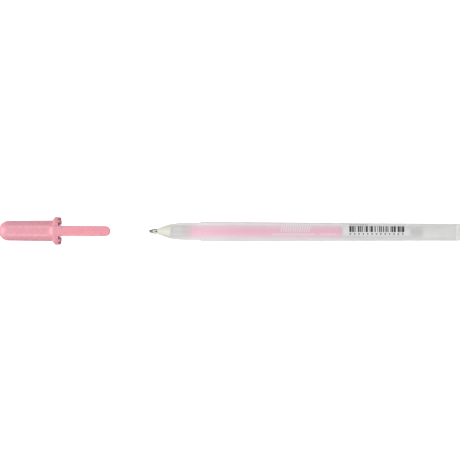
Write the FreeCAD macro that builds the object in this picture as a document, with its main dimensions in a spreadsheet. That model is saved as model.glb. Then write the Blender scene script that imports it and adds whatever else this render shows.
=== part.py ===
"""Capped gel pen, laid out with its cap pulled off in line with the barrel.

Row frame: +X runs from the cap to the tail along the pen's axis, +Z is up, and the cap's clip is on top.
The origin is the middle of the whole length, on the surface that the pen lies on.
Pen parts are drawn with their own x measured back from the nib, and cap parts with x measured forward
from the cap's mouth. A Placement then carries each of them to its place.
"""

import FreeCAD, Part
import math
import os
import Sketcher

V = FreeCAD.Vector

SIZES = [
    # the pen as a whole
    ("pen_length", 145.5, "nib to tail"),
    ("cap_length", 29.1, "dome to mouth"),
    ("cap_gap", 40.6, "from the mouth of the loose cap to the nib"),
    ("shoulder_x", 24.05, "nib to the shoulder that the cap closes on"),
    ("slip", 0.02, "clearance of parts that slide"),
    # barrel
    ("barrel_r", 4.48, "barrel outside, behind the shoulder"),
    ("barrel_taper_x", 40.0, "nib to where the barrel starts to taper"),
    ("seat_r", 4.0, "cap seat outside"),
    ("seat_x", 16.6, "nib to the front of the cylindrical seat"),
    ("nose_x", 10.3, "nib to the front edge of the barrel"),
    ("nose_r", 3.4, "barrel outside at its front edge"),
    ("nose_arc_r", 34.0, "radius of the barrel's ogive front"),
    ("tail_r", 3.99, "barrel outside at the tail"),
    ("tail_taper_x", 132.0, "nib to where the taper ends"),
    ("bore_front_r", 3.05, "barrel bore at the shoulder"),
    ("bore_tail_r", 3.25, "barrel bore at the tail"),
    ("shoulder_bevel", 0.12, "bevel on the shoulder"),
    # tail plug
    ("plug_x", 127.4, "nib to the front face of the tail plug"),
    ("plug_flange", 2.6, "length of the plug's crowned end"),
    ("plug_wall", 1.15, "wall of the plug's cup"),
    ("plug_crown_r", 1.5, "rounding of the tail end"),
    ("stem_x", 121.7, "nib to the end of the plug's stem"),
    ("stem_r", 0.95, "stem radius"),
    ("vent_r", 0.4, "air hole through the stem"),
    ("fin_r", 2.15, "reach of the stem's fins"),
    ("fin_wall", 0.6, "thickness of a fin"),
    # refill: tip
    ("ball_r", 0.5, "writing ball"),
    ("ball_show", 0.3, "how far the ball stands out of the lip"),
    ("lip_r", 0.58, "tip outside at the lip"),
    ("tip_r", 1.15, "tip outside behind its cone"),
    ("tip_cone_x", 3.25, "nib to the back of the tip's cone"),
    ("tip_neck_x", 5.6, "nib to the step down to the shank"),
    ("shank_r", 0.85, "tip shank"),
    ("shank_x", 9.2, "nib to the end of the shank"),
    ("feed_r", 0.28, "ink hole behind the ball"),
    ("feed_wide_r", 0.55, "ink hole in the shank"),
    # refill: holder
    ("holder_x", 4.2, "nib to the front of the tip holder"),
    ("holder_front_r", 1.36, "tip holder outside at its front"),
    ("holder_arc_r", 42.0, "radius of the holder's convex cone"),
    ("holder_body_r", 2.9, "holder inside the barrel"),
    ("tube_x", 15.6, "nib to the front end of the ink tube"),
    ("spigot_x", 20.0, "nib to the end of the holder's spigot"),
    ("check_r", 0.75, "check ball"),
    ("chamber_r", 1.0, "valve chamber"),
    ("valve_seat_x", 11.2, "nib to the front of the valve seat's cone"),
    ("spigot_bore_r", 0.6, "ink hole through the spigot"),
    ("thread_x", 12.1, "nib to the front of the ink in that hole"),
    # refill: tube and what it holds
    ("tube_r", 2.8, "ink tube outside"),
    ("tube_bore_r", 2.3, "ink tube inside"),
    ("tube_end_x", 127.2, "nib to the rear end of the ink tube"),
    ("ink_end_x", 90.0, "nib to the rear of the ink"),
    ("grease_length", 10.2, "grease plug behind the ink"),
    ("meniscus", 0.7, "depth of a meniscus"),
    # cap
    ("dome_r", 4.64, "cap's dome"),
    ("cap_r", 4.87, "cap outside in front of the collar"),
    ("collar_r", 6.5, "collar outside"),
    ("collar_length", 3.75, "collar along the cap"),
    ("collar_round", 1.35, "rounding of the collar's back"),
    ("collar_edge", 0.4, "rounding of the collar's front edge"),
    ("cap_bore_r", 4.05, "cap bore that takes the seat"),
    ("cap_bore_depth", 12.0, "depth of that bore"),
    ("mouth_r", 4.4, "lead-in at the mouth"),
    ("inner_r", 3.72, "cavity behind the bore"),
    ("inner_depth", 24.7, "depth of the cavity"),
    ("well_r", 2.75, "outside of the ring that holds the seal"),
    ("well_bore_r", 2.0, "inside of that ring"),
    ("well_mouth", 21.4, "depth of the ring's mouth"),
    ("well_depth", 26.5, "depth of the ring's floor"),
    ("seal_depth", 24.1, "depth of the seal's face"),
    ("seal_dish", 0.25, "hollow in the seal's face"),
    ("seal_rim", 1.4, "radius of that hollow"),
    # notches round the collar's front
    ("notch_width", 1.9, "width of a notch"),
    ("notch_depth", 1.1, "notch along the cap"),
    ("notch_reach_r", 3.9, "radius that a notch is cut in to, past the bore's wall"),
    ("notch_count", 12, "places round the collar"),
    # clip
    ("clip_length", 23.2, "mouth to the clip's free end"),
    ("clip_width", 4.65, "clip width"),
    ("clip_top", 7.0, "clip's outer face above the axis"),
    ("clip_under", 5.55, "clip's inner face above the axis"),
    ("clip_bead", 4.6, "bead under the free end, above the axis"),
    ("bead_half", 2.3, "half the length of that bead"),
    ("clip_tip_drop", 0.45, "drop of the outer face towards the free end"),
    ("clip_root_drop", 0.5, "thickening of the root"),
    ("clip_root_run", 1.6, "length over which the root thickens"),
    ("clip_edge", 0.55, "rounding of the clip's outer edges"),
    ("saddle_length", 5.3, "mouth to the nose of the clip's saddle"),
    ("saddle_width", 4.9, "saddle width"),
    ("saddle_arc_r", 2.3, "radius of the saddle's nose in side view"),
    ("saddle_edge", 0.7, "rounding of the saddle's edges"),
]

# Where the nib, the cap's mouth and the axis lie. In an expression here, @name is the sheet's cell of that name.
TOTAL = "(@cap_length + @cap_gap + @pen_length)"
PLACES = {"pen": f"{TOTAL} / 2 - @pen_length", "cap": f"@cap_length - {TOTAL} / 2"}
AXIS_Z = "@collar_r"


def cells(text):
    """The same expression as the spreadsheet spells it."""
    return str(text).replace("@", "Sizes.")


def make_sheet(doc):
    sheet = doc.addObject("Spreadsheet::Sheet", "Sizes")
    for row, (alias, size, meaning) in enumerate(SIZES, start=1):
        sheet.set(f"A{row}", meaning)
        sheet.set(f"B{row}", str(size))
        sheet.setAlias(f"B{row}", alias)
    doc.recompute()
    return sheet


doc = FreeCAD.newDocument("GelPen")
sheet = make_sheet(doc)


def number(expression):
    """The value of an expression now, to start a sketch from."""
    return float(sheet.evalExpression(cells(expression)))


def origin_item(body, role):
    return next(f for f in body.Origin.OriginFeatures if f.Role == role)


def new_body(label, group):
    """An empty body, placed with the pen or with the cap."""
    body = doc.addObject("PartDesign::Body", label)
    body.Label = label
    body.setExpression("Placement.Base.x", cells(PLACES[group]))
    body.setExpression("Placement.Base.z", cells(AXIS_Z))
    return body


def new_sketch(body, name, role):
    sketch = body.newObject("Sketcher::SketchObject", name)
    sketch.AttachmentSupport = [(origin_item(body, role), "")]
    sketch.MapMode = "FlatFace"
    return sketch


def pin_value(sketch, constraint, expression):
    index = sketch.addConstraint(constraint)
    sketch.setExpression(f"Constraints[{index}]", cells(expression))


def outline(body, name, role, corners):
    """A closed sketch. A corner is (x, y), or (x, y, radius) when an arc of that radius leads to it from the
    corner before. A radius with a minus sign bulges to the right of the way round, and one without to the left."""
    sketch = new_sketch(body, name, role)
    points = [V(number(c[0]), number(c[1]), 0) for c in corners]
    starts, ends = [], []
    for i, here in enumerate(points):
        following = corners[(i + 1) % len(corners)]
        there = points[(i + 1) % len(points)]
        if len(following) == 2:
            sketch.addGeometry(Part.LineSegment(here, there), False)
            starts.append(1)
            ends.append(2)
            continue
        radius = number(following[2])
        half = (there - here) * 0.5
        rise = math.sqrt(max(radius * radius - half.Length**2, 0.0))
        left = V(-half.y, half.x, 0).normalize()
        turn = 1 if radius > 0 else -1
        centre = here + half - left * rise * turn
        start, end = (there, here) if turn > 0 else (here, there)
        angles = [math.atan2(p.y - centre.y, p.x - centre.x) for p in (start, end)]
        if angles[1] < angles[0]:
            angles[1] += 2 * math.pi
        circle = Part.Circle(centre, V(0, 0, 1), abs(radius))
        sketch.addGeometry(Part.ArcOfCircle(circle, *angles), False)
        starts.append(2 if turn > 0 else 1)
        ends.append(1 if turn > 0 else 2)
        size = Sketcher.Constraint("Radius", i, abs(radius))
        pin_value(sketch, size, f"abs({following[2]})")
    for i, corner in enumerate(corners):
        before = i - 1 if i else len(corners) - 1
        sketch.addConstraint(Sketcher.Constraint("Coincident", before, ends[before], i, starts[i]))
        for kind, value in zip(("DistanceX", "DistanceY"), corner):
            place = Sketcher.Constraint(kind, -1, 1, i, starts[i], number(value))
            pin_value(sketch, place, value)
    return sketch


def turned(body, name, corners, cut=False):
    """Material added, or cut away, by turning an outline round the axis. Its y is the radius."""
    sketch = outline(body, name + "_outline", "XZ_Plane", corners)
    feature = body.newObject("PartDesign::Groove" if cut else "PartDesign::Revolution", name)
    feature.Profile = sketch
    feature.ReferenceAxis = (sketch, ["H_Axis"])
    feature.Angle = 360
    sketch.Visibility = False
    return feature


def extruded(body, name, role, corners, length, cut=False, midplane=True, reverse=False):
    """Material added, or cut away, by extruding an outline off one of the body's own planes."""
    sketch = outline(body, name + "_outline", role, corners)
    feature = body.newObject("PartDesign::Pocket" if cut else "PartDesign::Pad", name)
    feature.Profile = sketch
    feature.setExpression("Length", cells(length))
    feature.Midplane = midplane
    feature.Reversed = reverse
    return feature


def rounded(body, name, radius, chosen):
    """A fillet on the edges that chosen(edge) picks from the body as it stands."""
    doc.recompute()
    shape = body.Tip.Shape
    picked = [f"Edge{i}" for i, edge in enumerate(shape.Edges, start=1) if chosen(edge)]
    if not picked:
        raise SystemExit(f"{body.Label}: {name} finds no edge to round")
    base = body.Tip
    feature = body.newObject("PartDesign::Fillet", name)
    feature.Base = (base, picked)
    feature.setExpression("Radius", cells(radius))
    return feature


def expect_less(body, feature_before, feature_after):
    """A cut that misses its solid shows no error, so the volumes are compared."""
    doc.recompute()
    if not feature_after.Shape.Volume < feature_before.Shape.Volume - 1e-6:
        raise SystemExit(f"{body.Label}: {feature_after.Label} cuts nothing")


# --- the refill, from the nib back -----------------------------------------------------------------


def ball(label, radius, centre):
    """A ball on the axis, turned from two quarter circles."""
    body = new_body(label, "pen")
    turned(
        body,
        label + "_turned",
        [(f"{centre} - {radius}", 0), (centre, radius, radius), (f"{centre} + {radius}", 0, radius)],
    )
    return body


def writing_ball():
    return ball("writing_ball", "@ball_r", "@ball_r")


def tip_socket():
    """Steel tip: a lip closed over the ball, a cone, a collar and a shank, bored for the ink."""
    body = new_body("tip_socket", "pen")
    pocket = "(@ball_r + @slip)"
    lip_gap = f"sqrt({pocket} ^ 2 - (@ball_r - @ball_show) ^ 2)"
    rear_gap = f"sqrt({pocket} ^ 2 - @feed_r ^ 2)"
    turned(
        body,
        "tip_turned",
        [
            ("@ball_show", lip_gap, "-" + pocket),
            ("@ball_show", "@lip_r"),
            ("@tip_cone_x", "@tip_r"),
            ("@tip_neck_x", "@tip_r"),
            ("@tip_neck_x", "@shank_r"),
            ("@shank_x", "@shank_r"),
            ("@shank_x", "@feed_wide_r"),
            ("@tip_cone_x", "@feed_wide_r"),
            ("@tip_cone_x - @feed_r", "@feed_r"),
            (f"@ball_r + {rear_gap}", "@feed_r"),
        ],
    )
    return body


def nose_cone():
    """Tip holder: the pale cone in front of the barrel, its body inside the barrel, the valve chamber
    for the check ball and the spigot that carries the ink tube."""
    body = new_body("nose_cone", "pen")
    seat_run = "(@chamber_r - @spigot_bore_r)"
    turned(
        body,
        "holder_turned",
        [
            ("@holder_x", "@tip_r"),
            ("@holder_x", "@holder_front_r - 0.12"),
            ("@holder_x + 0.12", "@holder_front_r"),
            ("@nose_x", "@nose_r - 0.02", "@holder_arc_r"),
            ("@nose_x", "@holder_body_r"),
            ("@tube_x", "@holder_body_r"),
            ("@tube_x", "@tube_bore_r"),
            ("@spigot_x - 0.5", "@tube_bore_r"),
            ("@spigot_x", "@tube_bore_r - 0.25"),
            ("@spigot_x", "@spigot_bore_r"),
            (f"@valve_seat_x + {seat_run}", "@spigot_bore_r"),
            ("@valve_seat_x", "@chamber_r"),
            ("@shank_x", "@chamber_r"),
            ("@shank_x", "@shank_r"),
            ("@tip_neck_x", "@shank_r"),
            ("@tip_neck_x", "@tip_r"),
        ],
    )
    return body


def check_ball():
    """Steel ball that stops the ink running back. It rests on the end of the tip's shank."""
    return ball("check_ball", "@check_r", "(@shank_x + @check_r + @slip)")


def reservoir_tube():
    body = new_body("reservoir_tube", "pen")
    turned(
        body,
        "tube_turned",
        [
            ("@tube_x", "@tube_bore_r"),
            ("@tube_x", "@tube_r - 0.1"),
            ("@tube_x + 0.1", "@tube_r"),
            ("@tube_end_x - 0.1", "@tube_r"),
            ("@tube_end_x", "@tube_r - 0.1"),
            ("@tube_end_x", "@tube_bore_r"),
        ],
    )
    return body


def ink_column():
    """Ink in the tube. Its front follows the spigot's chamfer and its rear is a shallow meniscus."""
    body = new_body("ink_column", "pen")
    hollow = "((@tube_bore_r ^ 2 + @meniscus ^ 2) / (2 * @meniscus))"
    turned(
        body,
        "ink_turned",
        [
            ("@spigot_x", 0),
            ("@spigot_x", "@tube_bore_r - 0.25"),
            ("@spigot_x - 0.5", "@tube_bore_r"),
            ("@ink_end_x", "@tube_bore_r"),
            ("@ink_end_x - @meniscus", 0, "-" + hollow),
        ],
    )
    return body


def ink_thread():
    """Ink that fills the hole through the holder's spigot, behind the reach of the check ball."""
    body = new_body("ink_thread", "pen")
    turned(
        body,
        "thread_turned",
        [
            ("@thread_x", 0),
            ("@thread_x", "@spigot_bore_r"),
            ("@spigot_x", "@spigot_bore_r"),
            ("@spigot_x", 0),
        ],
    )
    return body


def grease_follower():
    """Plug of clear grease that follows the ink as it is used, so it has slip in the tube."""
    body = new_body("grease_follower", "pen")
    rim = "(@tube_bore_r - @slip)"
    hollow = f"(({rim} ^ 2 + @meniscus ^ 2) / (2 * @meniscus))"
    turned(
        body,
        "grease_turned",
        [
            ("@ink_end_x + @slip - @meniscus", 0),
            ("@ink_end_x + @slip", rim, hollow),
            ("@ink_end_x + @grease_length", rim),
            ("@ink_end_x + @grease_length - @meniscus", 0, "-" + hollow),
        ],
    )
    return body


# --- the barrel and its tail plug -------------------------------------------------------------------


def barrel():
    """Frosted tube: an ogive front, the cap seat, a shoulder, and a long body with a slight taper."""
    body = new_body("barrel", "pen")
    turned(
        body,
        "barrel_turned",
        [
            ("@nose_x", "@holder_body_r + @slip"),
            ("@nose_x", "@nose_r"),
            ("@seat_x", "@seat_r", "@nose_arc_r"),
            ("@shoulder_x", "@seat_r"),
            ("@shoulder_x", "@barrel_r - @shoulder_bevel"),
            ("@shoulder_x + @shoulder_bevel", "@barrel_r"),
            ("@barrel_taper_x", "@barrel_r"),
            ("@tail_taper_x", "@tail_r"),
            ("@pen_length - @plug_flange", "@tail_r"),
            ("@pen_length - @plug_flange", "@bore_tail_r"),
            ("@plug_x", "@bore_tail_r"),
            ("@shoulder_x", "@bore_front_r"),
            ("@tube_x + 0.4", "@bore_front_r - 0.05"),
            ("@tube_x", "@holder_body_r + @slip"),
        ],
    )
    return body


def tail_plug():
    """Plug that closes the tail: a cup pressed into the bore, a crowned end, and a stem with an air hole
    and four fins that centres the rear of the ink tube."""
    body = new_body("tail_plug", "pen")
    flange_x = "@pen_length - @plug_flange"
    floor_x = "@pen_length - @plug_wall"
    turned(
        body,
        "plug_turned",
        [
            ("@stem_x", "@vent_r"),
            ("@stem_x", "@stem_r - 0.2"),
            ("@stem_x + 0.2", "@stem_r"),
            (floor_x, "@stem_r"),
            (floor_x, "@bore_tail_r - @plug_wall"),
            ("@plug_x", "@bore_tail_r - @plug_wall"),
            ("@plug_x", "@bore_tail_r - 0.2"),
            ("@plug_x + 0.4", "@bore_tail_r"),
            (flange_x, "@bore_tail_r"),
            (flange_x, "@tail_r"),
            ("@pen_length - @plug_crown_r", "@tail_r"),
            ("@pen_length", "@tail_r - @plug_crown_r", "@plug_crown_r"),
            ("@pen_length", "@vent_r + 0.35"),
            ("@pen_length - 0.35", "@vent_r"),
        ],
    )
    fin_length = "@pen_length - @plug_wall - @stem_x - 0.6"
    hollow_r = "(@bore_tail_r - @plug_wall - 0.01)"
    reach = f"min(@fin_r; {hollow_r})"
    for name, role in (("fins_upright", "XZ_Plane"), ("fins_level", "XY_Plane")):
        for side, sign in (("a", ""), ("b", "-")):
            extruded(
                body,
                f"{name}_{side}",
                role,
                [
                    ("@stem_x + 0.6", f"{sign}(@stem_r - 0.1)"),
                    (f"@stem_x + 0.6 + {fin_length}", f"{sign}(@stem_r - 0.1)"),
                    (f"@stem_x + 0.6 + {fin_length}", f"{sign}{reach}"),
                    ("@stem_x + 0.9", f"{sign}{reach}"),
                    ("@stem_x + 0.6", f"{sign}({reach} - 0.3)"),
                ],
                "@fin_wall",
            )
    return body


# --- the cap ------------------------------------------------------------------------------------------


def cap_shell():
    """One moulding: a domed tube, a notched collar round the mouth, the clip's saddle, and inside it the
    bore that grips the seat and the ring that holds the seal."""
    body = new_body("cap_shell", "cap")
    turned(
        body,
        "outside",
        [
            (0, 0),
            ("-@cap_length", 0),
            ("@dome_r - @cap_length", "@dome_r", "@dome_r"),
            ("-@collar_length", "@cap_r"),
            ("@collar_round - @collar_length", "@collar_r", "@collar_round * 1.25"),
            ("-@collar_edge", "@collar_r"),
            (0, "@collar_r - @collar_edge", "@collar_edge"),
        ],
    )
    add_saddle(body)
    cut_notches(body)
    solid = body.Tip
    cavity = turned(
        body,
        "cavity",
        [
            (0, 0),
            (0, "@mouth_r"),
            ("@cap_bore_r - @mouth_r", "@cap_bore_r"),
            ("-@cap_bore_depth", "@cap_bore_r"),
            ("@inner_r - @cap_bore_r - @cap_bore_depth", "@inner_r"),
            ("-@inner_depth", "@inner_r"),
            ("-@inner_depth", "@well_r"),
            ("-@well_mouth", "@well_r"),
            ("-@well_mouth", "@well_bore_r + 0.3"),
            ("-@well_mouth - 0.3", "@well_bore_r"),
            ("-@well_depth", "@well_bore_r"),
            ("-@well_depth", 0),
        ],
        cut=True,
    )
    expect_less(body, solid, cavity)
    return body


def cut_notches(body):
    """Notches in the collar's front edge, open to the bore, at every place round it but the clip's."""
    solid = body.Tip
    half, far = "@notch_width / 2", "@collar_r + 1"
    notch = extruded(
        body,
        "notch",
        "YZ_Plane",
        [(f"-{half}", "@notch_reach_r"), (half, "@notch_reach_r"), (half, far), (f"-{half}", far)],
        "@notch_depth",
        cut=True,
        midplane=False,
    )
    sketch = notch.Profile[0]
    sketch.setExpression("AttachmentOffset.Rotation.Angle", cells("360 / @notch_count"))
    expect_less(body, solid, notch)
    ring = body.newObject("PartDesign::PolarPattern", "notch_ring")
    ring.Originals = [notch]
    ring.Axis = (origin_item(body, "X_Axis"), [""])
    ring.Mode = "Spacing"
    ring.setExpression("Offset", cells("360 / @notch_count"))
    ring.setExpression("Occurrences", cells("@notch_count - 1"))
    body.Tip = ring
    expect_less(body, notch, ring)


def add_saddle(body):
    """The clip's root on the cap: a block with a round nose, drawn in plan, then shaped in side view."""
    half = "@saddle_width / 2"
    nose = f"{half} - @saddle_length"
    bulge = f"-({half})"
    extruded(
        body,
        "saddle",
        "XY_Plane",
        [(nose, half), ("-@saddle_length", 0, bulge), (nose, f"-{half}", bulge), (0, f"-{half}"), (0, half)],
        "@clip_top",
        midplane=False,
    )
    block = body.Tip
    ramp_end = "@saddle_arc_r * 0.95 - @saddle_length"
    shaped = extruded(
        body,
        "saddle_ramp",
        "XZ_Plane",
        [
            ("-@saddle_length - 0.05", "@cap_r + 0.15"),
            (ramp_end, "@clip_top", "@saddle_arc_r"),
            (ramp_end, "@clip_top + 1"),
            ("-@saddle_length - 0.05", "@clip_top + 1"),
        ],
        "@saddle_width + 1",
        cut=True,
    )
    expect_less(body, block, shaped)
    top = number("@clip_top")
    side = number(half)

    def long_top_edge(edge):
        box = edge.BoundBox
        on_top = abs(box.ZMin - top) < 0.01 and abs(box.ZMax - top) < 0.01
        return on_top and abs(abs(box.YMin) - side) < 0.01 and abs(box.YMax - box.YMin) < 0.01

    rounded(body, "saddle_edges", "@saddle_edge", long_top_edge)


def clip():
    """The strip that carries on from the saddle over the barrel, with a bead under its round free end."""
    body = new_body("clip", "cap")
    half = "@clip_width / 2"
    bulge = f"-({half})"
    straight = f"@clip_length - {half}"
    extruded(
        body,
        "strip",
        "XY_Plane",
        [(0, f"-{half}"), (straight, f"-{half}"), ("@clip_length", 0, bulge), (straight, half, bulge), (0, half)],
        "@clip_top",
        midplane=False,
    )
    strip = body.Tip
    drop = "(@clip_under - @clip_bead)"
    bead_arc = f"((@bead_half ^ 2 + {drop} ^ 2) / (2 * {drop}))"
    root_arc = "-((@clip_root_run ^ 2 + @clip_root_drop ^ 2) / (2 * @clip_root_drop))"
    under = extruded(
        body,
        "underside",
        "XZ_Plane",
        [
            (0, -1),
            ("@clip_length + 1", -1),
            ("@clip_length + 1", "@clip_under"),
            ("@clip_length - 0.2", "@clip_under"),
            ("@clip_length - 0.2 - @bead_half", "@clip_bead", bead_arc),
            ("@clip_length - 0.2 - 2 * @bead_half", "@clip_under", bead_arc),
            ("@clip_root_run", "@clip_under"),
            (0, "@clip_under - @clip_root_drop", root_arc),
        ],
        "@clip_width + 1",
        cut=True,
    )
    expect_less(body, strip, under)
    over = extruded(
        body,
        "outer_face",
        "XZ_Plane",
        [
            ("@clip_length + 1", "@clip_top + 1"),
            ("@clip_length / 4", "@clip_top + 1"),
            ("@clip_length / 4", "@clip_top"),
            ("@clip_length + 1", "@clip_top - @clip_tip_drop"),
        ],
        "@clip_width + 1",
        cut=True,
    )
    expect_less(body, under, over)
    lowest = number("@clip_top - @clip_tip_drop") - 0.05

    def outer_edge(edge):
        box = edge.BoundBox
        across = box.XMax - box.XMin < 0.01
        return box.ZMin > lowest and not across

    rounded(body, "clip_edges", "@clip_edge", outer_edge)
    return body


def cap_seal():
    """Soft pad that the nib closes against, with a dished face."""
    body = new_body("cap_seal", "cap")
    bowl = "((@seal_rim ^ 2 + @seal_dish ^ 2) / (2 * @seal_dish))"
    turned(
        body,
        "seal_turned",
        [
            ("-@well_depth", 0),
            ("-@well_depth", "@well_bore_r"),
            ("-@seal_depth - 0.2", "@well_bore_r"),
            ("-@seal_depth", "@well_bore_r - 0.2"),
            ("-@seal_depth", "@seal_rim"),
            ("-@seal_depth - @seal_dish", 0, f"-{bowl}"),
        ],
    )
    return body


PARTS = [
    writing_ball,
    tip_socket,
    nose_cone,
    check_ball,
    ink_thread,
    ink_column,
    grease_follower,
    reservoir_tube,
    barrel,
    tail_plug,
    cap_shell,
    cap_seal,
    clip,
]


def main():
    bodies = [make() for make in PARTS]
    doc.recompute()
    for item in doc.Objects:
        if {"Invalid", "Error"} & set(item.State):
            raise SystemExit(f"{item.Label} failed: {item.State}")
    os.makedirs("parts", exist_ok=True)
    for body in bodies:
        shape = body.Shape
        if shape.isNull() or not shape.isValid():
            raise SystemExit(f"{body.Label} has no valid shape")
        shape.exportStep(f"parts/{body.Label}.step")
        box = shape.BoundBox
        print(
            f"{body.Label:16s} {len(shape.Solids)} solid {shape.Volume:9.2f} mm3  "
            f"x {box.XMin:8.2f} {box.XMax:8.2f}  z {box.ZMin:6.2f} {box.ZMax:6.2f}"
        )


main()
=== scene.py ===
"""Looks of a capped gel pen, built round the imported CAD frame.

The pen lies along X with its cap off, ahead of the nib. Every piece takes its place from the CAD nodes'
boxes. Unless it says otherwise, an x is in metres behind the nib's front.
"""

import math
import random

import bmesh
import bpy
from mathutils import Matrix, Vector


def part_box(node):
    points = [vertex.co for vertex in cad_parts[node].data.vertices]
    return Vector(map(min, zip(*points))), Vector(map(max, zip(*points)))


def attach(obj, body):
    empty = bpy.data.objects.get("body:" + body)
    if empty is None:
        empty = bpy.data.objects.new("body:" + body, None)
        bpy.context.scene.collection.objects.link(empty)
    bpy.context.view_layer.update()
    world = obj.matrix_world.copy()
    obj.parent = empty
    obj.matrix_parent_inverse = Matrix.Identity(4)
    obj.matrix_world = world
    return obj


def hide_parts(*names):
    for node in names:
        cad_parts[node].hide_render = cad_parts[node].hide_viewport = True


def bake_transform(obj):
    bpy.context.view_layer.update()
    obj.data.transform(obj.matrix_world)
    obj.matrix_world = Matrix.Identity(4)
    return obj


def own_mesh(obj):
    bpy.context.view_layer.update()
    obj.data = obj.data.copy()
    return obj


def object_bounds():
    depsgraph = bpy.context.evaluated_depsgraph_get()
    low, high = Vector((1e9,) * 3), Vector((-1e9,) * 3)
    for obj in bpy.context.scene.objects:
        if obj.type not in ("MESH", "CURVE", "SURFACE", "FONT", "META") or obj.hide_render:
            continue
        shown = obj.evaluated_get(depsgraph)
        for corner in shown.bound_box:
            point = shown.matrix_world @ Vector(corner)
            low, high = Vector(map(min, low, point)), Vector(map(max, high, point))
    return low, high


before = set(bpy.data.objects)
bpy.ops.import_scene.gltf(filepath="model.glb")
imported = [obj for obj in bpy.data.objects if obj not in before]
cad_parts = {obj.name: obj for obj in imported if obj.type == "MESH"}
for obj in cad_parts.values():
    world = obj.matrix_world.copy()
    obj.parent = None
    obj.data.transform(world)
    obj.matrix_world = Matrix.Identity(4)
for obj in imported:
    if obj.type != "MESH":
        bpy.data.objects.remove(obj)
cad_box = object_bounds()

MM = 0.001
BOX = {node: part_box(node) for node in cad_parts}
AXIS_Z = (BOX["barrel"][0].z + BOX["barrel"][1].z) / 2
NIB_X = BOX["writing_ball"][0].x
MOUTH_X = BOX["cap_shell"][1].x
SEGMENTS = 96
SHARP_DEGREES = 35


def low(node):
    """A node's front end."""
    return BOX[node][0].x - NIB_X


def high(node):
    """A node's rear end."""
    return BOX[node][1].x - NIB_X


def radius(node):
    lo, hi = BOX[node]
    return (hi.y - lo.y) / 2


# --- materials ---------------------------------------------------------------------------------------

# noise keeps mostly within NOISE_RANGE, and a ramp's two shades stand at SHADE_STOPS
NOISE_RANGE = (0.3, 0.7)
SHADE_STOPS = (0.35, 0.65)

# the colour sockets of a Mix node, which share their names with its other kinds of value
MIX_A, MIX_B, MIX_RESULT = 6, 7, 2


class Material:
    """A Principled material and short ways to feed it from noise."""

    def __init__(self, name, **sockets):
        self.material = bpy.data.materials.new(name)
        self.material.use_nodes = True
        self.tree = self.material.node_tree
        self.shader = self.tree.nodes["Principled BSDF"]
        self.coordinates = self.tree.nodes.new("ShaderNodeTexCoord")
        for socket, value in sockets.items():
            self.shader.inputs[socket.replace("_", " ")].default_value = value

    def feed(self, output, socket):
        """Links an output to one of the shader's sockets."""
        self.tree.links.new(output, self.shader.inputs[socket])

    def noise(self, scale, detail=3.0, roughness=0.55, stretch=(1, 1, 1)):
        """Noise in object space, where scale is in features to the metre."""
        mapping = self.tree.nodes.new("ShaderNodeMapping")
        mapping.inputs["Scale"].default_value = stretch
        self.tree.links.new(self.coordinates.outputs["Object"], mapping.inputs["Vector"])
        texture = self.tree.nodes.new("ShaderNodeTexNoise")
        texture.inputs["Scale"].default_value = scale
        texture.inputs["Detail"].default_value = detail
        texture.inputs["Roughness"].default_value = roughness
        self.tree.links.new(mapping.outputs["Vector"], texture.inputs["Vector"])
        return texture.outputs["Fac"]

    def remap(self, value, source=(0.0, 1.0), target=(0.0, 1.0)):
        """Maps a value from the source range to the target range, and keeps it there."""
        node = self.tree.nodes.new("ShaderNodeMapRange")
        node.inputs["From Min"].default_value, node.inputs["From Max"].default_value = source
        node.inputs["To Min"].default_value, node.inputs["To Max"].default_value = target
        self.tree.links.new(value, node.inputs["Value"])
        return node.outputs["Result"]

    def ramp(self, fac, colours):
        """A colour ramp between two colours."""
        node = self.tree.nodes.new("ShaderNodeValToRGB")
        for element, place, colour in zip(node.color_ramp.elements, SHADE_STOPS, colours):
            element.position = place
            element.color = (*colour, 1)
        self.tree.links.new(fac, node.inputs["Fac"])
        return node.outputs["Color"]

    def along_x(self, start, end):
        """0 ahead of start and 1 behind end, both in the frame's own x."""
        place = self.tree.nodes.new("ShaderNodeSeparateXYZ")
        self.tree.links.new(self.coordinates.outputs["Object"], place.inputs["Vector"])
        return self.remap(place.outputs["X"], source=(start, end))

    def mix(self, fac, a, b):
        node = self.tree.nodes.new("ShaderNodeMix")
        node.data_type = "RGBA"
        self.tree.links.new(fac, node.inputs["Factor"])
        self.tree.links.new(a, node.inputs[MIX_A])
        self.tree.links.new(b, node.inputs[MIX_B])
        return node.outputs[MIX_RESULT]

    def colour(self, fac, colours):
        self.feed(self.ramp(fac, colours), "Base Color")

    def rough(self, fac, to_low, to_high):
        self.feed(self.remap(fac, NOISE_RANGE, (to_low, to_high)), "Roughness")

    def veil(self, body, edge):
        """Alpha that grows from body, seen square-on, to edge, where light crosses more of the wall."""
        layer = self.tree.nodes.new("ShaderNodeLayerWeight")
        layer.inputs["Blend"].default_value = 0.5
        self.feed(self.remap(layer.outputs["Facing"], target=(body, edge)), "Alpha")

    def bump(self, fac, depth, strength):
        node = self.tree.nodes.new("ShaderNodeBump")
        node.inputs["Distance"].default_value = depth
        node.inputs["Strength"].default_value = strength
        self.tree.links.new(fac, node.inputs["Height"])
        self.feed(node.outputs["Normal"], "Normal")


def shades(colour, spread):
    """Two colours, a little under and a little over this one."""
    under = tuple(c * (1 - spread) for c in colour)
    over = tuple(min(c * (1 + spread), 1) for c in colour)
    return under, over


def moulded_pink():
    """Pink cap plastic. The clip gets a brighter, warmer copy of the same pink as painted light, standing in
    for light coming through the thin clip.
    """
    m = Material("cap_pink_plastic", IOR=1.5)
    grain = m.noise(260, 4)
    body = m.ramp(grain, shades((0.68, 0.294, 0.347), 0.02))
    # painted light: a brighter, warmer copy of the body pink, for light coming through the thin clip
    strip = m.ramp(grain, shades((0.765, 0.29, 0.342), 0.02))
    m.feed(m.mix(m.along_x(MOUTH_X - 2 * MM, MOUTH_X + 4 * MM), body, strip), "Base Color")
    m.rough(m.noise(900, 3), 0.25, 0.32)
    m.bump(m.noise(2600, 4, 0.6), 0.03 * MM, 0.25)
    return m.material


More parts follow.
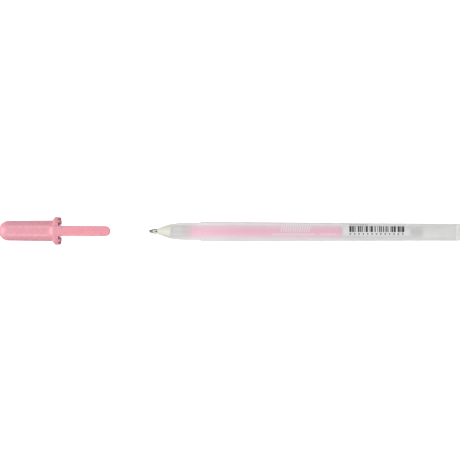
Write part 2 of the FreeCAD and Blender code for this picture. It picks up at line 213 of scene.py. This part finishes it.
def frosted(name, colour, body, edge, clear, rough):
    """Frosted plastic. body is the share of light that doesn't go straight through, and clear is the share
    of that which goes through blurred. The rest is scattered back. edge is what body grows to where the wall
    is seen edge-on."""
    m = Material(name, IOR=1.4, Transmission_Weight=clear)
    m.veil(body, edge)
    m.colour(m.noise(180, 3), shades(colour, 0.01))
    m.rough(m.noise(900, 3), *rough)
    m.bump(m.noise(5200, 3, 0.7), 0.02 * MM, 0.3)
    return m.material


def clear_plastic(name, colour, body, edge, clear, rough, stain=None):
    """Clear plastic or grease, with the same shares as frosted plastic. stain is a colour and the frame's x
    where it ends."""
    m = Material(name, IOR=1.3, Transmission_Weight=clear)
    m.veil(body, edge)
    own = m.ramp(m.noise(120, 2), shades(colour, 0.005))
    if stain:
        tint, end = stain
        stained = m.ramp(m.noise(90, 3), shades(tint, 0.02))
        own = m.mix(m.along_x(end - 2 * MM, end), stained, own)
    m.feed(own, "Base Color")
    m.rough(m.noise(300, 2), *rough)
    return m.material


def ink_pink():
    """Pink gel ink with a faint red-pink glow of painted light, which makes up for the light that the barrel
    and tube around it hold back.
    """
    # the emission here and its colour below are painted light: a glow that brightens the ink behind the
    # barrel
    m = Material("gel_ink", IOR=1.33, Specular_IOR_Level=0.2, Emission_Strength=0.15)
    m.shader.inputs["Emission Color"].default_value = (1, 0, 0.4, 1)
    m.colour(m.noise(420, 4, stretch=(0.3, 1, 1)), shades((0.96, 0.24, 0.5), 0.03))
    m.rough(m.noise(600, 2), 0.4, 0.5)
    return m.material


def milky():
    """Milky holder plastic, stained pink by ink at its rear end and a little see-through inside the barrel.
    The stained end is also much paler than the holder's own colour, as painted light where it sits dim
    behind the barrel and tube.
    """
    m = Material("milky_holder_plastic", IOR=1.48, Subsurface_Weight=0.25, Subsurface_Scale=0.001)
    m.shader.inputs["Subsurface Radius"].default_value = (1.0, 0.95, 0.85)
    own = m.ramp(m.noise(300, 3), shades((0.61, 0.61, 0.545), 0.012))
    # partly a real ink stain, partly painted light: much paler than the holder's own colour, to brighten the
    # end seen dimly through the barrel and tube
    stained = m.ramp(m.noise(500, 4), shades((0.98, 0.86, 0.87), 0.02))
    m.feed(m.mix(m.along_x(NIB_X + 15.2 * MM, NIB_X + 17.0 * MM), own, stained), "Base Color")
    barrel_front = NIB_X + low("barrel")
    m.feed(m.remap(m.along_x(barrel_front, barrel_front + 0.5 * MM), target=(1.0, 0.55)), "Alpha")
    m.rough(m.noise(800, 3), 0.4, 0.5)
    m.bump(m.noise(3000, 3), 0.03 * MM, 0.25)
    return m.material


def steel():
    """Turned steel, with its grain round the axis."""
    m = Material("turned_steel", Metallic=1.0)
    m.colour(m.noise(1500, 4, stretch=(6, 1, 1)), shades((0.4, 0.39, 0.37), 0.1))
    m.rough(m.noise(2400, 3, stretch=(6, 1, 1)), 0.1, 0.18)
    m.bump(m.noise(4200, 2, stretch=(8, 0.2, 0.2)), 0.01 * MM, 0.2)
    return m.material


def ball_steel():
    m = Material("ball_steel", Metallic=1.0)
    m.colour(m.noise(900, 2), shades((0.85, 0.85, 0.84), 0.04))
    m.rough(m.noise(2500, 2), 0.22, 0.3)
    return m.material


def soft_pad():
    m = Material("seal_elastomer", Subsurface_Weight=0.1, Subsurface_Scale=0.0005)
    m.colour(m.noise(500, 3), shades((0.80, 0.42, 0.46), 0.03))
    m.rough(m.noise(1200, 3), 0.55, 0.7)
    return m.material


def print_ink(name, colour, alpha=1.0):
    m = Material(name, IOR=1.4, Alpha=alpha)
    m.colour(m.noise(3000, 4), shades(colour, 0.05))
    m.rough(m.noise(2000, 2), 0.4, 0.55)
    return m.material


def floor_paint():
    """A pale floor that glows to camera rays alone, so that it comes out white like a light table."""
    m = Material("pale_floor")
    m.shader.inputs["Emission Color"].default_value = (1, 1, 1, 1)
    m.colour(m.noise(6, 2), shades((0.5, 0.5, 0.5), 0.004))
    m.rough(m.noise(12, 2), 0.8, 0.9)
    m.feed(m.tree.nodes.new("ShaderNodeLightPath").outputs["Is Camera Ray"], "Emission Strength")
    return m.material


# --- shapes ------------------------------------------------------------------------------------------


def new_object(name, bm, material, smooth=True):
    mesh = bpy.data.meshes.new(name)
    bm.normal_update()
    bm.to_mesh(mesh)
    bm.free()
    piece = bpy.data.objects.new(name, mesh)
    bpy.context.scene.collection.objects.link(piece)
    mesh.materials.append(material)
    for face in mesh.polygons:
        face.use_smooth = smooth
    return piece


def adopt(piece, body, node):
    """piece rides with the body and is shown in place of the CAD node, which is hidden."""
    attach(piece, body)
    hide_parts(node)
    return piece


def dress(node, material):
    """The CAD node stays as it is, in this material."""
    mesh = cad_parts[node].data
    mesh.materials.clear()
    mesh.materials.append(material)


def steps(start, end, count):
    """Even places from start to end, both ends included."""
    return [start + (end - start) * i / count for i in range(count + 1)]


def lathe(name, profile, material, segments=SEGMENTS):
    """A closed outline of (x, radius) turned round the pen's axis. A radius of 0 makes a single point."""
    bm = bmesh.new()
    rings = []
    for x, r in profile:
        if r == 0:
            rings.append([bm.verts.new((NIB_X + x, 0, AXIS_Z))])
            continue
        ring = []
        for i in range(segments):
            turn = 2 * math.pi * i / segments
            ring.append(bm.verts.new((NIB_X + x, r * math.sin(turn), AXIS_Z + r * math.cos(turn))))
        rings.append(ring)
    for here, there in zip(rings, rings[1:] + rings[:1]):
        for i in range(segments):
            k = (i + 1) % segments
            corners = [here[i % len(here)], here[k % len(here)]]
            corners += [there[k % len(there)], there[i % len(there)]]
            corners = list(dict.fromkeys(corners))
            if len(corners) > 2:
                bm.faces.new(corners)
    bmesh.ops.recalc_face_normals(bm, faces=bm.faces)
    piece = new_object(name, bm, material)
    sharpen(piece)
    return piece


def sharpen(piece):
    """Marks the edges that fold by more than SHARP_DEGREES as sharp, so that the rest shade smooth."""
    bm = bmesh.new()
    bm.from_mesh(piece.data)
    limit = math.radians(SHARP_DEGREES)
    for edge in bm.edges:
        edge.smooth = len(edge.link_faces) != 2 or edge.calc_face_angle(0) < limit
    bm.to_mesh(piece.data)
    bm.free()


# --- cap -----------------------------------------------------------------------------------------------


def cap_moulding(material):
    """Cap and clip as the single moulding they are, from the CAD solids, with a mould's small fillets."""
    lo, hi = BOX["clip"]
    half_width = (hi.y - lo.y) / 2
    bm = bmesh.new()
    for node in ("cap_shell", "clip"):
        bm.from_mesh(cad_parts[node].data)
    add_bridge(bm, half_width, hi.z)
    add_flare(bm, half_width, lo.z, hi.z)
    piece = new_object("cap_with_clip", bm, material)
    melt(piece)
    crown_strip(piece.data, half_width, (lo.z + hi.z) / 2)
    for face in piece.data.polygons:
        face.use_smooth = True
    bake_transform(piece)
    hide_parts("cap_shell", "clip")


def add_bridge(bm, half_width, top):
    """A block inside both solids, so that they join across the mouth's plane."""
    bridge = bmesh.ops.create_cube(bm, size=1)
    size = Vector((1.2 * MM, 2 * half_width - 0.9 * MM, 0.9 * MM))
    middle = Vector((MOUTH_X, 0, top - 0.45 * MM - size.z / 2))
    for vertex in bridge["verts"]:
        vertex.co = Vector(a * b for a, b in zip(vertex.co, size)) + middle


def add_flare(bm, half_width, bottom, top):
    """The clip's root, which widens towards the collar."""
    # each place behind the mouth and the root's half width there
    widths = (
        (-0.3 * MM, half_width + 0.4 * MM),
        (0.5 * MM, half_width + 0.15 * MM),
        (1.5 * MM, half_width - 0.1 * MM),
    )
    corners = []
    for behind_mouth, half in widths:
        for y in (-half, half):
            for z in (bottom + 0.2 * MM, top - 0.35 * MM):
                corners.append(bm.verts.new((MOUTH_X + behind_mouth, y, z)))
    bmesh.ops.convex_hull(bm, input=corners)


def melt(piece):
    """Joins a piece's solids into one skin with softened edges."""
    remesh = piece.modifiers.new("remesh", "REMESH")
    remesh.mode = "VOXEL"
    remesh.voxel_size = 0.1 * MM
    remesh.use_smooth_shade = True
    soften = piece.modifiers.new("soften", "SMOOTH")
    soften.factor = 0.5
    soften.iterations = 6
    baked = bpy.data.meshes.new_from_object(piece.evaluated_get(bpy.context.evaluated_depsgraph_get()))
    piece.modifiers.clear()
    piece.data = baked


def crown_strip(mesh, half_width, middle):
    """Lets the clip's outer face fall away towards its two long edges."""
    flat, drop = 0.5 * MM, 0.62 * MM
    fade_along, fade_up = 2.5 * MM, 0.5 * MM
    for vertex in mesh.vertices:
        x, y, z = vertex.co
        if x > MOUTH_X and z > middle and abs(y) > flat:
            share = min((x - MOUTH_X) / fade_along, 1) * min((z - middle) / fade_up, 1)
            vertex.co.z = z - drop * share * ((abs(y) - flat) / (half_width - flat)) ** 3


# --- pen -----------------------------------------------------------------------------------------------

SEAT_R, SEAT_FRONT, SHOULDER = 4.0 * MM, 16.6 * MM, 24.05 * MM
OGIVE_R = 34.0 * MM
TAPER_FROM, TAPER_TO, TAIL_R = 40 * MM, 132 * MM, 3.99 * MM
BORE_FRONT_R, BORE_MIDDLE_R, BORE_REAR_R = 2.92 * MM, 3.05 * MM, 3.25 * MM
PLUG_FRONT = 127.4 * MM
TUBE_BORE_R, FILLING_R = 2.3 * MM, 2.27 * MM
TIP_R, SHANK_R, HOLDER_NECK = 1.15 * MM, 0.85 * MM, 5.6 * MM


def barrel_r(x):
    """The barrel's outside radius behind the shoulder."""
    share = min(max((x - TAPER_FROM) / (TAPER_TO - TAPER_FROM), 0), 1)
    return radius("barrel") + (TAIL_R - radius("barrel")) * share


def ogive_r(x):
    """The barrel's outside radius ahead of the cap's seat."""
    return SEAT_R - OGIVE_R + math.sqrt(OGIVE_R**2 - (SEAT_FRONT - x) ** 2)


def barrel_tube(outer, inner):
    """Barrel: ogive front, cap seat, shoulder and long taper. Its outside is frosted and its bore is not."""
    front, rear, full = low("barrel"), high("barrel"), radius("barrel")
    outside = [(front, 3.32 * MM)]
    outside += [(x, ogive_r(x)) for x in steps(front + 0.06 * MM, SEAT_FRONT, 10)]
    outside += [(SHOULDER - 0.12 * MM, SEAT_R), (SHOULDER, SEAT_R + 0.06 * MM)]
    outside += [(SHOULDER, full - 0.14 * MM), (SHOULDER + 0.05 * MM, full - 0.05 * MM)]
    outside += [(SHOULDER + 0.14 * MM, full)]
    outside += [(x, barrel_r(x)) for x in steps(TAPER_FROM, TAPER_TO, 12)]
    outside += [(rear - 0.08 * MM, TAIL_R), (rear, TAIL_R - 0.08 * MM)]
    inside = [(rear, BORE_REAR_R), (PLUG_FRONT, BORE_REAR_R), (SHOULDER, BORE_MIDDLE_R)]
    inside += [(16.0 * MM, 3.0 * MM), (15.6 * MM, BORE_FRONT_R), (front, BORE_FRONT_R)]
    piece = lathe("frosted_barrel", outside + inside, outer)
    mesh = piece.data
    mesh.materials.append(inner)
    for face in mesh.polygons:
        corners = [mesh.vertices[i].co for i in face.vertices]
        reach = max(math.hypot(corner.y, corner.z - AXIS_Z) for corner in corners)
        face.material_index = int(reach < BORE_REAR_R + 0.02 * MM)
    adopt(piece, "barrel", "barrel")


def ink_tube(material):
    front, rear = low("reservoir_tube"), high("reservoir_tube")
    out, edge = radius("reservoir_tube"), 0.1 * MM
    profile = [(front, TUBE_BORE_R), (front, out - edge), (front + edge, out)]
    profile += [(x, out) for x in steps(front + 5 * MM, rear - 5 * MM, 8)]
    profile += [(rear - edge, out), (rear, out - edge), (rear, TUBE_BORE_R)]
    adopt(lathe("ink_tube", profile, material), "refill", "reservoir_tube")


def tube_filling(name, node, body, material, front_r, hollow):
    """A length of ink or grease in the tube, a hair inside its wall and inside its CAD node's two ends.
    front_r is the front face's radius, and hollow is how deep the rear face curves in."""
    gap = 0.03 * MM
    front, rear = low(node) + gap, high(node) - gap
    rings = steps(0, 1, 6)
    profile = [(front, front_r * k) for k in rings]
    profile += [(x, FILLING_R) for x in steps(front + 0.5 * MM, rear, 16)]
    profile += [(rear - hollow * (1 - k * k), FILLING_R * k) for k in reversed(rings[:-1])]
    return adopt(lathe(name, profile, material), body, node)


def holder(material):
    """Milky tip holder, with a softer edge round the tip than the CAD solid has. Outside it has a bowed
    cone, a groove, a body and a spigot in the tube. Inside it has an ink hole, a valve chamber, and seats
    for the tip's shank and the tip."""
    front, base, tube, rear = low("nose_cone"), low("barrel"), low("reservoir_tube"), high("nose_cone")
    front_r, base_r, bow = 1.36 * MM, 3.38 * MM, 42 * MM
    groove_r, body_r, spigot_r = 2.4 * MM, 2.9 * MM, 2.3 * MM
    ink_hole_r, chamber_r, shank_seat_r = 0.61 * MM, 1.0 * MM, 0.86 * MM
    half = Vector((base - front, base_r - front_r)) / 2
    off = math.sqrt(bow**2 - half.length_squared) / half.length
    centre = Vector((front, front_r)) + half + Vector((half.y, -half.x)) * off
    profile = [(front, TIP_R), (front, front_r - 0.12 * MM), (front + 0.04 * MM, front_r - 0.03 * MM)]
    for x in steps(front + 0.12 * MM, base, 14):
        profile.append((x, centre.y + math.sqrt(bow**2 - (x - centre.x) ** 2)))
    profile += [(base, 2.6 * MM), (base + 0.1 * MM, groove_r)]
    profile += [(base + 0.8 * MM, groove_r), (base + 0.95 * MM, body_r)]
    profile += [(tube - 0.1 * MM, body_r), (tube, body_r - 0.1 * MM), (tube, spigot_r)]
    profile += [(rear - 0.5 * MM, spigot_r), (rear, spigot_r - 0.25 * MM)]
    profile += [(rear, ink_hole_r), (11.6 * MM, ink_hole_r)]
    profile += [(11.2 * MM, chamber_r), (9.2 * MM, chamber_r)]
    profile += [(9.2 * MM, shank_seat_r), (HOLDER_NECK, shank_seat_r), (HOLDER_NECK, TIP_R)]
    adopt(lathe("tip_holder", profile, material), "refill", "nose_cone")


def tip(material):
    """Steel tip with a rolled lip, a turned cone, a fine groove, and an ink channel that opens into the
    ball's seat."""
    front, rear = low("tip_socket"), high("tip_socket")
    groove_r, channel_r, feed_r = 1.03 * MM, 0.55 * MM, 0.28 * MM
    profile = [(front, 0.485 * MM), (front, 0.54 * MM), (front + 0.03 * MM, 0.575 * MM)]
    profile += [(front + 0.35 * MM, 0.63 * MM), (front + 0.42 * MM, 0.66 * MM)]
    profile += [(2.6 * MM, 1.13 * MM), (2.72 * MM, TIP_R), (3.7 * MM, TIP_R)]
    profile += [(3.76 * MM, groove_r), (4.15 * MM, groove_r), (4.22 * MM, TIP_R), (HOLDER_NECK, TIP_R)]
    profile += [(HOLDER_NECK, SHANK_R), (rear, SHANK_R)]
    profile += [(rear, channel_r), (3.25 * MM, channel_r), (2.97 * MM, feed_r), (0.94 * MM, feed_r)]
    profile += [(0.8 * MM, 0.42 * MM), (0.55 * MM, 0.515 * MM)]
    adopt(lathe("steel_tip", profile, material, segments=64), "refill", "tip_socket")


# --- print ---------------------------------------------------------------------------------------------

PRINT_LIFT, PANEL_LIFT, PRINT_SINK = 0.012 * MM, 0.006 * MM, 0.01 * MM
DEGREES_A_ROW = 6


def add_patch(bm, x0, x1, a0, a1, lift=PRINT_LIFT, lean=0.0):
    """A thin closed patch on the barrel between two x and two angles from its top, in degrees towards +Y.
    lean shifts its far side along x."""
    count = max(2, math.ceil(abs(a1 - a0) / DEGREES_A_ROW))
    rows = []
    for i in range(count + 1):
        angle = math.radians(a0 + (a1 - a0) * i / count)
        shift = lean * i / count
        row = []
        for x in (x0 + shift, x1 + shift):
            for depth in (lift, -PRINT_SINK):
                r = barrel_r(x) + depth
                row.append(bm.verts.new((NIB_X + x, r * math.sin(angle), AXIS_Z + r * math.cos(angle))))
        rows.append(row)
    for here, there in zip(rows, rows[1:]):
        for k, n in ((0, 2), (2, 3), (3, 1), (1, 0)):
            bm.faces.new((here[k], here[n], there[n], there[k]))
    for row in (rows[0], rows[-1]):
        bm.faces.new((row[0], row[2], row[3], row[1]))


def printed(name, material, patches):
    bm = bmesh.new()
    for patch in patches:
        add_patch(bm, *patch)
    bmesh.ops.recalc_face_normals(bm, faces=bm.faces)
    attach(new_object(name, bm, material, smooth=False), "barrel")


def barrel_print():
    """Plain marks that spell nothing, where the barrel carries its print. Each patch is its two x, its two
    angles, and where they aren't the usual ones its lift and its lean."""
    white = print_ink("white_print", (0.95, 0.95, 0.95), 0.62)
    dark = print_ink("dark_print", (0.035, 0.025, 0.03))
    panel = print_ink("panel_print", (0.92, 0.92, 0.92), 0.55)

    slant = 0.7 * MM
    strokes = [(x, x + 0.45 * MM, -1, 44, PRINT_LIFT, slant) for x in steps(61.3 * MM, 74.2 * MM, 12)]
    line = [(57.4 * MM, 77.1 * MM, -17, -12)]
    dashes = [(x, x + 1.0 * MM, -18, -11) for x in steps(79.7 * MM, 86.0 * MM, 4)]
    printed("white_marks", white, strokes + line + dashes)

    printed("label_panel", panel, [(90.1 * MM, 119.6 * MM, -24, 62, PANEL_LIFT)])

    rng = random.Random(6)
    bars, x, bars_end, unit = [], 93.2 * MM, 118.2 * MM, 0.26 * MM
    while x < bars_end:
        width, gap = rng.choice((1, 1, 2, 3, 4)), rng.choice((1, 1, 1, 2, 3))
        bars.append((x, x + width * unit, -0.7, 41))
        x += (width + gap) * unit
    printed("label_bars", dark, bars)
    ticks = [(x, x + 0.7 * MM, -17, -8.5) for x in steps(93.3 * MM, 117.6 * MM, 12)]
    ticks += [(x, x + 0.45 * MM, 48, 55) for x in steps(93.3 * MM, 101.4 * MM, 10)]
    printed("label_ticks", dark, ticks)


# --- scene ---------------------------------------------------------------------------------------------


def pen():
    pink, ink = moulded_pink(), ink_pink()
    outer = frosted(
        "frosted_plastic", (0.95, 0.945, 0.945), body=0.5, edge=0.8, clear=0.3, rough=(0.42, 0.5)
    )
    inner = clear_plastic(
        "barrel_bore_plastic", (0.97, 0.97, 0.97), body=0.06, edge=0.2, clear=0.3, rough=(0.15, 0.25)
    )
    wall = clear_plastic(
        "clear_tube_plastic", (0.98, 0.98, 0.98), body=0.04, edge=0.85, clear=0.25, rough=(0.05, 0.1),
        stain=((0.97, 0.80, 0.87), NIB_X + high("ink_column")),
    )
    grease = clear_plastic(
        "clear_grease", (0.97, 0.95, 0.95), body=0.25, edge=0.5, clear=0.3, rough=(0.25, 0.35)
    )
    milk = frosted(
        "plug_plastic", (0.97, 0.97, 0.955), body=0.62, edge=0.9, clear=0.1, rough=(0.35, 0.45)
    )

    barrel_tube(outer, inner)
    holder(milky())
    tip(steel())
    dress("writing_ball", ball_steel())
    dress("check_ball", ball_steel())
    dress("ink_thread", ink)
    ink_tube(wall)
    column = tube_filling("ink", "ink_column", "refill", ink, front_r=2.05 * MM, hollow=0)
    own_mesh(column)
    tube_filling("grease", "grease_follower", "grease_follower", grease, front_r=FILLING_R, hollow=0.7 * MM)
    dress("tail_plug", milk)
    dress("cap_seal", soft_pad())
    barrel_print()
    cap_moulding(pink)


def stage():
    """A pale floor, an even white sky, and four softboxes: above, along both sides, and ahead of the cap."""
    bm = bmesh.new()
    bmesh.ops.create_grid(bm, x_segments=1, y_segments=1, size=1.5)
    floor = new_object("floor", bm, floor_paint(), smooth=False)
    floor.location.z = cad_box[0].z - 0.02 * MM

    world = bpy.data.worlds.new("studio")
    world.use_nodes = True
    background = world.node_tree.nodes["Background"]
    background.inputs["Color"].default_value = (1, 1, 1, 1)
    background.inputs["Strength"].default_value = 0.38
    bpy.context.scene.world = world

    softbox("key", (-0.45, 0, 1.09), width=0.9, height=0.42, power=2.0)
    softbox("strip_far", (-0.1, 0.83, 0.79), width=1.0, height=0.4, power=4.2)
    softbox("strip_near", (-0.1, -0.88, 0.74), width=1.0, height=0.4, power=5.2)
    softbox("cap_end", (-0.87, 0, 0.39), width=0.69, height=0.77, power=5.9)


def softbox(name, place, width, height, power):
    """A rectangular light that faces the middle of the floor. power is in watts."""
    light = bpy.data.lights.new(name, "AREA")
    light.shape = "RECTANGLE"
    light.size = width
    light.size_y = height
    light.energy = power
    lamp = bpy.data.objects.new(name, light)
    bpy.context.scene.collection.objects.link(lamp)
    lamp.location = place
    lamp.rotation_mode = "QUATERNION"
    lamp.rotation_quaternion = (-Vector(place)).to_track_quat("-Z", "Y")


def camera():
    """Straight down on the pen from far off, with the picture a little narrower than the pen."""
    lens, sensor, picture_width = 200, 36, 213.9 * MM
    aside, roll = 0.7 * MM, math.radians(0.2)
    data = bpy.data.cameras.new("camera")
    data.lens = lens
    data.sensor_width = sensor
    data.clip_start, data.clip_end = 0.01, 20
    cam = bpy.data.objects.new("camera", data)
    bpy.context.scene.collection.objects.link(cam)
    cam.location = (0, aside, AXIS_Z + picture_width * lens / sensor)
    cam.rotation_euler = (0, 0, roll)
    bpy.context.scene.camera = cam
    bpy.context.scene.view_settings.view_transform = "Standard"


pen()
stage()
camera()
